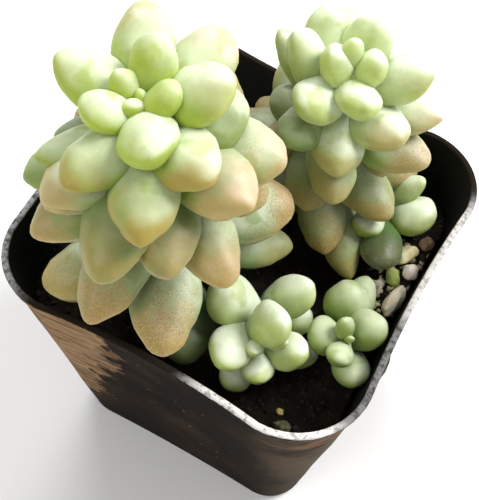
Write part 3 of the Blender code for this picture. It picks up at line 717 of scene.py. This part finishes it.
def leafTree():
    # grows a closed, thick leaf on each point
    tree, ids, given, out = newTree("growLeaves", [
        ("Around", "Int", 24), ("Along", "Int", 20), ("Root Width", "Float", 0.4),
        ("Widest At", "Float", 0.56), ("Thickness", "Float", 0.8), ("Curl", "Float", 0.06),
        ("Flat Top", "Float", 0.86), ("Thin Edge", "Float", 0.1), ("Uneven", "Float", 0.03),
        ("Seed", "Float", 0.0), ("Material", "Material", None)])
    take = given.outputs
    ball = addNode(tree, "GeometryNodeMeshUVSphere", {
        "Segments": take["Around"], "Rings": take["Along"], "Radius": 1.0})
    place = addNode(tree, "GeometryNodeInputPosition", {}).outputs[0]
    x, y, z = splitAxes(tree, place)
    reach = calc(tree, "SQRT", calc(tree, "ADD", times(tree, x, x), times(tree, y, y)))
    safe = calc(tree, "MAXIMUM", reach, 0.0001)
    leaf = store(tree, ball.outputs["Mesh"], "leafT", calc(tree, "MULTIPLY_ADD", z, 0.5, 0.5))
    leaf = store(tree, leaf, "leafSide", calc(tree, "DIVIDE", x, safe))
    leaf = store(tree, leaf, "leafTop", calc(tree, "DIVIDE", y, safe))
    grow = addNode(tree, "GeometryNodeInstanceOnPoints", {
        "Points": take["Geometry"], "Instance": leaf})
    real = addNode(tree, "GeometryNodeRealizeInstances", {0: grow.outputs[0]})
    t, side, top, length, width, point, seed = (
        stored(tree, "leaf" + label)
        for label in ("T", "Side", "Top", "Length", "Width", "Point", "Seed"))
    # outline: swells from the root to the widest place, then closes to the tip
    rise = calc(tree, "MINIMUM", calc(tree, "DIVIDE", t, take["Widest At"]), 1.0)
    rise = calc(tree, "POWER", calc(tree, "SINE", times(tree, rise, math.pi / 2)), 1.15)
    swell = calc(tree, "ADD", take["Root Width"], times(
        tree, calc(tree, "SUBTRACT", 1.0, take["Root Width"]), rise))
    past = calc(tree, "MAXIMUM", calc(tree, "SUBTRACT", t, take["Widest At"]), 0.0)
    fall = calc(tree, "DIVIDE", past, calc(tree, "SUBTRACT", 1.0, take["Widest At"]))
    fall = calc(tree, "POWER", fall, calc(tree, "MULTIPLY_ADD", point, -0.25, 2.3))
    closing = calc(tree, "POWER", calc(tree, "SUBTRACT", 1.0, fall),
                   calc(tree, "MULTIPLY_ADD", point, 0.22, 0.50))
    # section: an oval, a little flatter on top and thinner towards its edges
    flat = calc(tree, "MULTIPLY_ADD", calc(tree, "GREATER_THAN", top, 0.0),
                calc(tree, "SUBTRACT", take["Flat Top"], 1.0), 1.0)
    thin = calc(tree, "SUBTRACT", 1.0, times(tree, side, side, take["Thin Edge"]))
    half = times(tree, times(tree, width, 0.5), times(tree, swell, closing))
    deep = times(tree, times(tree, top, take["Thickness"]), half, times(tree, flat, thin))
    lift = times(tree, times(tree, take["Curl"], length), times(tree, t, t))
    spot = stored(tree, "leafRoot", "FLOAT_VECTOR")
    for way, reach in (("leafAlong", times(tree, length, t)),
                       ("leafAcross", times(tree, half, side)),
                       ("leafOver", calc(tree, "ADD", deep, lift))):
        spot = vecCalc(tree, "ADD", spot, vecCalc(
            tree, "SCALE", stored(tree, way, "FLOAT_VECTOR"), scale=reach))
    shape = addNode(tree, "GeometryNodeSetPosition", {
        "Geometry": real.outputs[0], "Position": spot})
    # no two leaves are quite alike: soft hollows and swellings
    bumps = cloud(tree, vecCalc(tree, "ADD", vecCalc(tree, "SCALE", place, scale=190.0),
                                allAxes(tree, calc(tree, "ADD", seed, take["Seed"]))), 1.0, 1.0)
    normal = addNode(tree, "GeometryNodeInputNormal", {}).outputs[0]
    push = times(tree, times(tree, width, 2.0), take["Uneven"],
                 calc(tree, "SUBTRACT", bumps, 0.5))
    soften = addNode(tree, "GeometryNodeSetPosition", {
        "Geometry": shape.outputs[0], "Offset": vecCalc(tree, "SCALE", normal, scale=push)})
    smooth = addNode(tree, "GeometryNodeSetShadeSmooth", {"Geometry": soften.outputs[0]})
    endTree(tree, smooth.outputs[0], given, out)
    return tree, ids


def leafMaterial():
    c = leafColour
    material, tree, shader, spot = newMaterial(
        "leafWaxy", 0.46, Specular_IOR_Level=0.42, Subsurface_Weight=0.22,
        Subsurface_Scale=0.0016, Subsurface_Radius=(1.0, 0.8, 0.35), Sheen_Weight=0.12,
        Sheen_Roughness=0.45, Sheen_Tint=(0.96, 1.0, 0.90, 1.0))
    here = spot.outputs["Object"]
    age, along, top, blush, gold, speck, deep, waxAndLight, seed = (
        stored(tree, "leaf" + label) for label in
        ("Age", "T", "Top", "Blush", "Gold", "Speck", "DeepGreenAndShade", "BloomAndLight", "Seed"))
    own = vecCalc(tree, "ADD", vecCalc(tree, "SCALE", here, scale=100.0), allAxes(tree, seed))
    drift = calc(tree, "SUBTRACT", cloud(tree, own, 1.6, 3, 0.55), 0.5)
    # how far a face turns towards the lamps, a way set between straight up and the key lamp; the
    # colours below use it to paint highlight and shade
    towardLight = vecCalc(tree, "DOT_PRODUCT", spot.outputs["Normal"], c["lightWay"])
    towardLight = calc(tree, "ADD", towardLight, times(tree, drift, 0.5))
    body = blendColour(tree, ease(tree, age, *c["middleAge"]), c["young"], c["middle"])
    body = blendColour(tree, ease(tree, age, *c["oldAge"]), body, c["old"])
    # deep green: partly the leaves' own colour, partly painted shade on leaves that lie under
    # others
    body = blendColour(tree, deep, body, c["deep"])
    # darker green towards each leaf's root: partly its own colour, partly painted shade where
    # the leaves crowd over each other
    low = calc(tree, "ADD", along, times(tree, drift, 0.3))
    rootGreenAndShade = ease(tree, low, *c["rootGreenAndShadeBand"], 0.0, c["rootGreenAndShadeAmount"])
    body = blendColour(tree, rootGreenAndShade, body, c["root"])
    # sun colour: a peach band that turns tan on old leaves, and olive gold at the tip, laid only
    # on the side turned from the light, where it also paints shade
    reach = calc(tree, "ADD", along, times(tree, drift, 0.8))
    peach = times(tree, ease(tree, reach, *c["peachBand"]), blush)
    warm = blendColour(tree, ease(tree, age, *c["tanAge"]), c["peach"], c["tan"])
    body = blendColour(tree, times(tree, peach, c["peachAmount"]), body, warm)
    shadedTipGold = times(tree, ease(tree, reach, *c["goldBand"]), ease(tree, towardLight, 0.95, 0.25))
    body = blendColour(tree, times(tree, shadedTipGold, gold, c["goldAmount"]), body, c["gold"])
    # whitish bloom, thickest on what faces the light: partly real wax, partly painted highlight
    # on the lit side; rubbed off in patches and from old tips
    extra = calc(tree, "MAXIMUM", calc(tree, "SUBTRACT", waxAndLight, 1.0), 0.0)
    bloomAndHighlight = times(tree, ease(tree, towardLight, -0.12, 0.90), calc(tree, "MINIMUM", waxAndLight, 1.0))
    bloomAndHighlight = calc(tree, "ADD", bloomAndHighlight, times(tree, extra, c["lowerBloomAndLight"]))
    bare = calc(tree, "MAXIMUM",
                times(tree, ease(tree, reach, 0.40, 0.85), ease(tree, age, 0.45, 0.75)),
                times(tree, shadedTipGold, calc(tree, "MULTIPLY_ADD", gold, 0.6, 0.5)))
    rubbed = ease(tree, cloud(tree, own, 2.2, 2, 0.4), 0.56, 0.66, 1.0, c["rubbedLeft"])
    bloomAndHighlight = times(tree, bloomAndHighlight, calc(tree, "MULTIPLY_ADD", bare, -c["bareLoss"], 1.0), rubbed)
    bloomAndHighlightColour = blendColour(tree, ease(tree, peach, 0.0, 0.7), c["bloomAndHighlight"], c["warmBloomAndHighlight"])
    bloomAndHighlight = calc(tree, "MULTIPLY", bloomAndHighlight, c["bloomAndHighlightAmount"], clamp=True)
    body = blendColour(tree, bloomAndHighlight, body, bloomAndHighlightColour)
    # fine red-brown dots, crowded towards the tip, and paler ones where wax is left between
    crowd = calc(tree, "ADD", reach, times(tree, cloud(tree, own, 4.0, 3), 0.8))
    crowd = ease(tree, crowd, *c["dotBand"])
    dots = ease(tree, cloud(tree, here, c["dotScale"], 2.0, 0.7), 0.49, 0.59)
    body = blendColour(tree, times(tree, dots, crowd, speck, c["dotAmount"]), body, c["speck"])
    dots = ease(tree, cloud(tree, here, c["paleDotScale"], 2.0, 0.7), 0.52, 0.60)
    body = blendColour(tree, times(tree, dots, crowd, speck, c["paleDotAmount"]), body,
                       bloomAndHighlightColour)
    # the thin pale line along each edge
    rim = times(tree, ease(tree, calc(tree, "ABSOLUTE", top), 0.16, 0.0),
                ease(tree, along, 0.25, 0.5), ease(tree, age, 0.30, 0.70, *c["rimAmount"]))
    body = blendColour(tree, rim, body, bloomAndHighlightColour)
    # a faint mottle under the wax
    mottle = ease(tree, cloud(tree, here, 520.0, 4, 0.65), 0.30, 0.70, 0.0, c["mottle"])
    body = blendColour(tree, mottle, body, (0.0, 0.0, 0.0))
    tree.links.new(body, shader.inputs["Base Color"])
    addBump(tree, shader, cloud(tree, here, 1100, 3, 0.6), 0.14, 0.0002)
    return material


def stemMaterial():
    material, tree, shader, spot = newMaterial("stemGreen", 0.6, Specular_IOR_Level=0.3)
    here = spot.outputs["Object"]
    bark = cloud(tree, here, 300, 4, 0.6)
    tree.links.new(blendColour(tree, ease(tree, bark, 0.3, 0.7), leafColour["stem"],
                               leafColour["bark"]), shader.inputs["Base Color"])
    addBump(tree, shader, bark, 0.4, 0.0004)
    return material


def barMesh(points, radii, sides=20):
    # a round bar along points, with flat ends
    rings = []
    for i, p in enumerate(points):
        axis = (points[min(i + 1, len(points) - 1)] - points[max(i - 1, 0)]).normalized()
        ref = Vector((1, 0, 0)) if abs(axis.z) > 0.3 else Vector((0, 0, 1))
        east = (ref - axis * axis.dot(ref)).normalized()
        north = axis.cross(east)
        rings.append([p + (east * math.cos(a) + north * math.sin(a)) * radii[i]
                      for a in (2 * math.pi * k / sides for k in range(sides))])
    verts, faces = skin(rings)
    return meshFrom("bar", verts, faces)


def stemPath(stem):
    foot = soil["level"] - soil["stemDepth"]
    if "path" in stem:
        return [Vector(p) for p in stem["path"]]
    length = stem["top"][2] - foot
    points, step = [], 1.5
    distance = step
    while distance < length * 1.04:  # a leaning stem is longer than it is high
        points.append(stemPoint(stem, distance))
        distance += step
    last = points[-1].copy()
    last.z = foot
    points = [p for p in points if p.z > foot + 1.0] + [last]
    points.reverse()
    return points


def makeStem(stem, tree, ids, leafFinish, stemFinish):
    leaves = spiralLeaves(stem) if "turn" in stem else placedLeaves(stem)
    if "shoot" in stem:
        leaves += placedLeaves(stem["shoot"])
    name = stem["node"] + "_leaves"
    piece = addObject(name, leafPoints(name, leaves))
    f = leafForm
    runTree(piece, tree, ids, {
        "Around": f["around"], "Along": f["along"], "Root Width": f["root"],
        "Widest At": f["widest"], "Thickness": f["thick"], "Curl": f["curl"],
        "Flat Top": f["flatTop"], "Thin Edge": f["edge"], "Uneven": f["uneven"],
        "Seed": float(f["seed"]), "Material": leafFinish})
    points = stemPath(stem)
    radii = [stem["radius"]] * len(points)
    radii[-1] *= 0.55  # thinner at its top
    joinInto(piece, barMesh(points, radii), stemFinish)
    if "shoot" in stem:
        branch = [Vector(p) for p in stem["shoot"]["path"]]
        joinInto(piece, barMesh(branch, [stem["shoot"]["radius"]] * len(branch)), stemFinish)
    settle(piece, stem["slot"], stem["node"])


stones = {
    "stone_white": dict(at=(30.4, -6.4), size=(2.2, 2.6, 2.4), seed=2.0, rough=0.15, sunk=0.3,
                        light=(0.93, 0.91, 0.83), dark=(0.84, 0.80, 0.70)),
    "stone_cream": dict(at=(30.0, 2.2), size=(2.9, 7.4, 3.0), seed=5.0, rough=0.2, sunk=0.3,
                        yaw=-4, light=(0.92, 0.85, 0.70), dark=(0.76, 0.66, 0.46)),
    "stone_pink": dict(at=(30.1, 9.4), size=(2.8, 3.2, 2.8), seed=8.0, rough=0.2, sunk=0.3,
                       light=(0.94, 0.85, 0.78), dark=(0.84, 0.68, 0.54)),
    "stone_tan": dict(at=(30.2, 17.4), size=(2.8, 3.0, 2.6), seed=11.0, rough=0.3, sunk=0.4,
                      light=(0.34, 0.22, 0.13), dark=(0.14, 0.09, 0.05)),
    "fallen_leaf_pale": dict(at=(27.8, 12.8), size=(3.2, 5.6, 2.6), seed=14.0, rough=0.3,
                             sunk=0.25, yaw=-25, light=(0.90, 0.84, 0.56),
                             dark=(0.76, 0.68, 0.32)),
    "fallen_leaf_green": dict(at=(27.6, 7.0), size=(2.6, 4.4, 2.2), seed=17.0, rough=0.12,
                              sunk=0.25, yaw=35, light=(0.46, 0.52, 0.16),
                              dark=(0.28, 0.34, 0.08)),
    "grit_grey": dict(at=(25.9, 3.6), size=(2.8, 3.8, 1.9), seed=20.0, rough=0.7, sunk=0.3,
                      light=(0.66, 0.60, 0.51), dark=(0.34, 0.29, 0.22)),
    "grit_yellow": dict(at=(26.6, -0.4), size=(1.8, 2.4, 1.5), seed=23.0, rough=0.6, sunk=0.3,
                        light=(0.82, 0.74, 0.36), dark=(0.36, 0.34, 0.08)),
    "grain_front": dict(at=(21.7, -25.6), size=(1.3, 1.3, 1.2), seed=26.0, rough=0.4, sunk=0.3,
                        light=(0.60, 0.48, 0.18), dark=(0.26, 0.16, 0.04)),
    "lump_front": dict(at=(23.4, -28.0), size=(3.4, 2.4, 2.2), seed=29.0, rough=0.4, sunk=0.3,
                       light=(0.17, 0.18, 0.08), dark=(0.06, 0.06, 0.03)),
}


def stoneMaterial(name, stone):
    material, tree, shader, spot = newMaterial(name + "Finish", 0.62, Specular_IOR_Level=0.3)
    here = spot.outputs["Object"]
    grain = cloud(tree, here, 420, 4, 0.65)
    tree.links.new(blendColour(tree, ease(tree, grain, 0.36, 0.62), stone["dark"],
                               stone["light"]), shader.inputs["Base Color"])
    addBump(tree, shader, cloud(tree, here, 1600, 4, 0.7), 0.4, 0.0003)
    return material


def makeStone(name, stone):
    bm = bmesh.new()
    bmesh.ops.create_icosphere(bm, subdivisions=4, radius=1.0)
    x, y = stone["at"]
    z = soilHeight(x, y) + stone["size"][2] * (0.5 - stone["sunk"])
    place = Matrix.Translation(Vector((x, y, z)) * mm) @ Matrix.Rotation(
        math.radians(stone.get("yaw", 0)), 4, "Z")
    for vert in bm.verts:
        shift = Vector((stone["seed"], 0, 0))
        bump = 1 + stone["rough"] * noise.noise(vert.co * 1.3 + shift)
        bump += 0.25 * stone["rough"] * noise.noise(vert.co * 4.0 + shift)
        bump += 0.02 * noise.noise(vert.co * 9.0 + shift)
        p = vert.co * bump
        vert.co = place @ (Vector(a * b for a, b in zip(p, stone["size"])) * (mm / 2))
    mesh = bpy.data.meshes.new(name + "_fine")
    bm.to_mesh(mesh)
    bm.free()
    mesh.shade_smooth()
    piece = addObject(name + "_fine", mesh, stoneMaterial(name, stone))
    settle(piece, name, name)


stage = dict(
    floorSize=4.0, floorColour=(0.95, 0.95, 0.95), sky=(1.0, 1.0, 1.0), skyPower=0.36,
    cameraAt=(44.52, -88.63, 201.29), forward=(-0.248, 0.482, -0.840),
    up=(-0.431, 0.722, 0.541), lens=68.27)
lights = {
    "keyBackRight": dict(at=(600, 600, 900), size=640, power=15.8, colour=(1.0, 0.99, 0.97)),
    "fillBackLeft": dict(at=(-440, 680, 960), size=700, power=6.8, colour=(1.0, 1.0, 1.0)),
    "fillFrontLeft": dict(at=(-400, -700, 900), size=800, power=4.8, colour=(1.0, 0.99, 0.97)),
}


def makeStage():
    half = stage["floorSize"] / 2
    mesh = bpy.data.meshes.new("floor")
    mesh.from_pydata([(-half, -half, 0), (half, -half, 0), (half, half, 0), (-half, half, 0)],
                     [], [(0, 1, 2, 3)])
    material = newMaterial("floorPale", 0.8, Base_Color=(*stage["floorColour"], 1))[0]
    floor = addObject("floor", mesh, material)
    world = bpy.data.worlds.new("softSky")
    bpy.context.scene.world = world
    world.use_nodes = True
    sky = world.node_tree.nodes["Background"]
    sky.inputs["Color"].default_value = (*stage["sky"], 1)
    sky.inputs["Strength"].default_value = stage["skyPower"]


def makeLights():
    aim = Vector((0, 0, 0.06))
    for name, light in lights.items():
        data = bpy.data.lights.new(name, "AREA")
        data.shape = "DISK"
        data.size = light["size"] * mm
        data.energy = light["power"]
        data.color = light["colour"]
        lamp = addObject(name, data)
        lamp.location = Vector(light["at"]) * mm
        lamp.rotation_euler = (aim - lamp.location).to_track_quat("-Z", "Y").to_euler()


def makeCamera():
    data = bpy.data.cameras.new("camera")
    data.lens = stage["lens"]
    data.clip_start = 0.01
    data.clip_end = 20
    camera = addObject("camera", data)
    back = -Vector(stage["forward"]).normalized()
    right = Vector(stage["up"]).cross(back).normalized()
    up = back.cross(right)
    turn = Matrix((right, up, back)).transposed().to_4x4()
    camera.matrix_world = Matrix.Translation(Vector(stage["cameraAt"]) * mm) @ turn
    bpy.context.scene.camera = camera


bpy.context.scene.view_settings.view_transform = "Standard"
makeStage()
makeLights()
makeCamera()
print("stage, lights and camera are in place")
makePot()
ground = makeSoil()
makeCrumbs(ground)
print("pot and soil are done")
growTree, growIds = leafTree()
leafFinish, stemFinish = leafMaterial(), stemMaterial()
for stem in (leftStem, rightStem, frontStem, edgeStem):
    makeStem(stem, growTree, growIds, leafFinish, stemFinish)
print("leafy stems are grown")
for stoneName, stone in stones.items():
    makeStone(stoneName, stone)
print("stones are laid")
